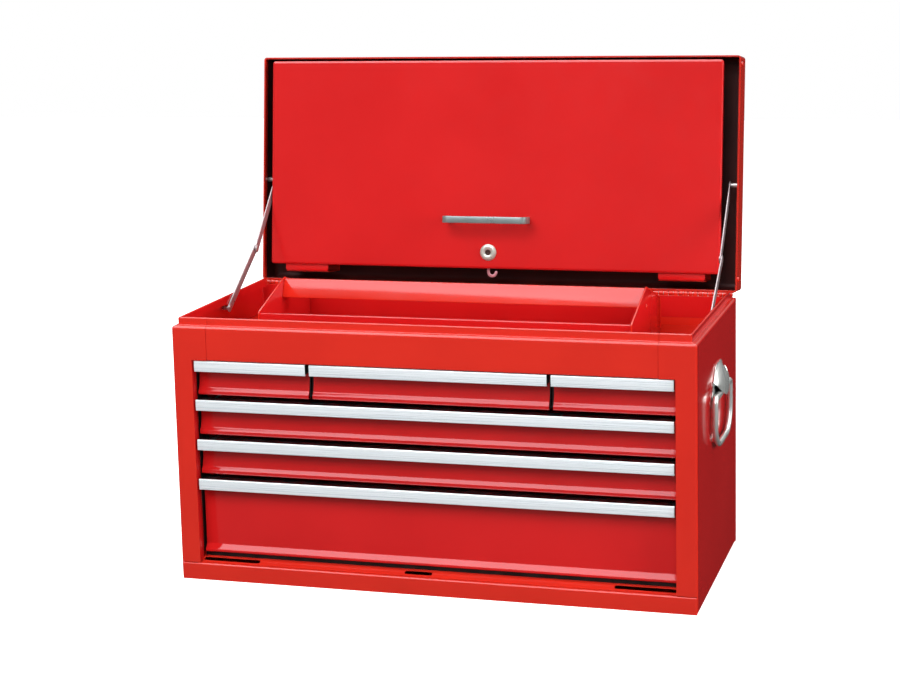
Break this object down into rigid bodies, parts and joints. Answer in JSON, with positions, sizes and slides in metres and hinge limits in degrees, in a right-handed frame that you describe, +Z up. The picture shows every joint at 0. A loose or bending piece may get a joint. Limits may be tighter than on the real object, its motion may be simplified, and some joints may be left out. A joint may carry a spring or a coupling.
{
  "type": "tool chest",
  "caption": "Red sheet-steel top chest with a row of three small drawers above three full-width ones, a lift-up lid on folding stays, a tote tray and a lockable front cover.",
  "frame": {"origin": "centre of the case's underside", "axes": "+Z up, +X along the chest's width to the user's right, drawers facing -Y"},
  "size_m": [0.6838, 0.3947, 0.6376],
  "materials": {
    "red_enamel": "glossy baked red enamel on steel sheet",
    "zinc_steel": "bright zinc plate",
    "black_steel": "grey plated steel strip",
    "brushed_aluminium": "brushed extruded aluminium",
    "chrome": "polished chrome plate"
  },
  "bodies": {
    "case": {"left_side_panel": "red_enamel", "right_side_panel": "red_enamel", "back_panel": "red_enamel", "bottom_panel": "red_enamel", "top_rail": "red_enamel", "bottom_rail": "red_enamel", "compartment_floor": "red_enamel", "slide_carrier_left": "red_enamel", "slide_carrier_right": "red_enamel", "row_divider_left": "black_steel", "row_divider_right": "black_steel", "guide_rail_left": "black_steel", "guide_rail_right": "black_steel", "hinge_leaf_case": "red_enamel", "hinge_pin": "zinc_steel", "handle_plate_left": "chrome", "handle_plate_right": "chrome", "slide_outer_upper_drawer_left": "zinc_steel", "slide_outer_upper_drawer_right": "zinc_steel", "slide_outer_lower_drawer_left": "zinc_steel", "slide_outer_lower_drawer_right": "zinc_steel", "slide_outer_deep_drawer_left": "zinc_steel", "slide_outer_deep_drawer_right": "zinc_steel"},
    "lid": {"lid_shell": "red_enamel", "hinge_leaf_lid": "red_enamel", "cover_rest_left": "red_enamel", "cover_rest_right": "red_enamel"},
    "cover": {"front_cover": "red_enamel", "pull_handle": "chrome", "lock_housing": "chrome"},
    "lock": {"lock_plug": "chrome", "lock_cam": "zinc_steel"},
    "tray": {"tray_pan": "red_enamel", "tray_end_left": "red_enamel", "tray_end_right": "red_enamel", "tray_handle": "red_enamel"},
    "stay_lower_left": {"stay_lower_left": "zinc_steel"},
    "stay_upper_left": {"stay_upper_left": "zinc_steel"},
    "bail_left": {"bail_left": "chrome"},
    "stay_lower_right": {"stay_lower_right": "zinc_steel"},
    "stay_upper_right": {"stay_upper_right": "zinc_steel"},
    "bail_right": {"bail_right": "chrome"},
    "top_left_drawer": {"top_left_drawer_box": "red_enamel", "top_left_drawer_trim": "brushed_aluminium"},
    "top_middle_drawer": {"top_middle_drawer_box": "red_enamel", "top_middle_drawer_trim": "brushed_aluminium"},
    "top_right_drawer": {"top_right_drawer_box": "red_enamel", "top_right_drawer_trim": "brushed_aluminium"},
    "upper_drawer": {"upper_drawer_box": "red_enamel", "upper_drawer_trim": "brushed_aluminium", "slide_inner_upper_drawer_left": "zinc_steel", "slide_inner_upper_drawer_right": "zinc_steel"},
    "lower_drawer": {"lower_drawer_box": "red_enamel", "lower_drawer_trim": "brushed_aluminium", "slide_inner_lower_drawer_left": "zinc_steel", "slide_inner_lower_drawer_right": "zinc_steel"},
    "deep_drawer": {"deep_drawer_box": "red_enamel", "deep_drawer_trim": "brushed_aluminium", "slide_inner_deep_drawer_left": "zinc_steel", "slide_inner_deep_drawer_right": "zinc_steel"}
  },
  "joints": [
    {"name": "lid_hinge", "type": "hinge", "parent": "case", "child": "lid", "pos_m": [0, 0.1568, 0.3295], "axis": [-1, 0, 0], "range_deg": [-97, 0]},
    {"name": "cover_seat", "type": "slide", "parent": "lid", "child": "cover", "axis": [0, 0.9925, -0.1219], "range_m": [0, 0.0436]},
    {"name": "lock_turn", "type": "hinge", "parent": "cover", "child": "lock", "pos_m": [-0.0035, 0.1557, 0.378], "axis": [0, 0.9925, -0.1219], "range_deg": [-90, 0]},
    {"name": "stay_lower_left_pivot", "type": "hinge", "parent": "case", "child": "stay_lower_left", "pos_m": [-0.31875, 0.008, 0.32], "axis": [-1, 0, 0], "range_deg": [0, 43.35]},
    {"name": "stay_upper_left_pivot", "type": "hinge", "parent": "lid", "child": "stay_upper_left", "pos_m": [-0.31695, 0.188, 0.46874], "axis": [-1, 0, 0], "range_deg": [-14.94, 0]},
    {"name": "stay_lower_right_pivot", "type": "hinge", "parent": "case", "child": "stay_lower_right", "pos_m": [0.31875, 0.008, 0.32], "axis": [-1, 0, 0], "range_deg": [0, 43.35]},
    {"name": "stay_upper_right_pivot", "type": "hinge", "parent": "lid", "child": "stay_upper_right", "pos_m": [0.31695, 0.188, 0.46874], "axis": [-1, 0, 0], "range_deg": [-14.94, 0]},
    {"name": "top_left_drawer_slide", "type": "slide", "parent": "case", "child": "top_left_drawer", "axis": [0, -1, 0], "range_m": [0, 0.2]},
    {"name": "top_middle_drawer_slide", "type": "slide", "parent": "case", "child": "top_middle_drawer", "axis": [0, -1, 0], "range_m": [0, 0.2]},
    {"name": "top_right_drawer_slide", "type": "slide", "parent": "case", "child": "top_right_drawer", "axis": [0, -1, 0], "range_m": [0, 0.2]},
    {"name": "upper_drawer_slide", "type": "slide", "parent": "case", "child": "upper_drawer", "axis": [0, -1, 0], "range_m": [0, 0.2]},
    {"name": "lower_drawer_slide", "type": "slide", "parent": "case", "child": "lower_drawer", "axis": [0, -1, 0], "range_m": [0, 0.2]},
    {"name": "deep_drawer_slide", "type": "slide", "parent": "case", "child": "deep_drawer", "axis": [0, -1, 0], "range_m": [0, 0.2]},
    {"name": "tray_lift", "type": "slide", "parent": "case", "child": "tray", "axis": [0, 0, 1], "range_m": [0, 0.09]},
    {"name": "bail_left_swing", "type": "hinge", "parent": "case", "child": "bail_left", "pos_m": [-0.336, 0, 0.24], "axis": [0, 1, 0], "range_deg": [0, 100]},
    {"name": "bail_right_swing", "type": "hinge", "parent": "case", "child": "bail_right", "pos_m": [0.336, 0, 0.24], "axis": [0, -1, 0], "range_deg": [0, 100]}
  ],
  "couplings": [
    {"joint": "cover_seat", "follows": "lid_hinge", "m_per_rad": -0.025694},
    {"joint": "stay_lower_left_pivot", "follows": "lid_hinge", "ratio": -0.44592},
    {"joint": "stay_upper_left_pivot", "follows": "lid_hinge", "ratio": 0.15303},
    {"joint": "stay_lower_right_pivot", "follows": "lid_hinge", "ratio": -0.44592},
    {"joint": "stay_upper_right_pivot", "follows": "lid_hinge", "ratio": 0.15303}
  ]
}
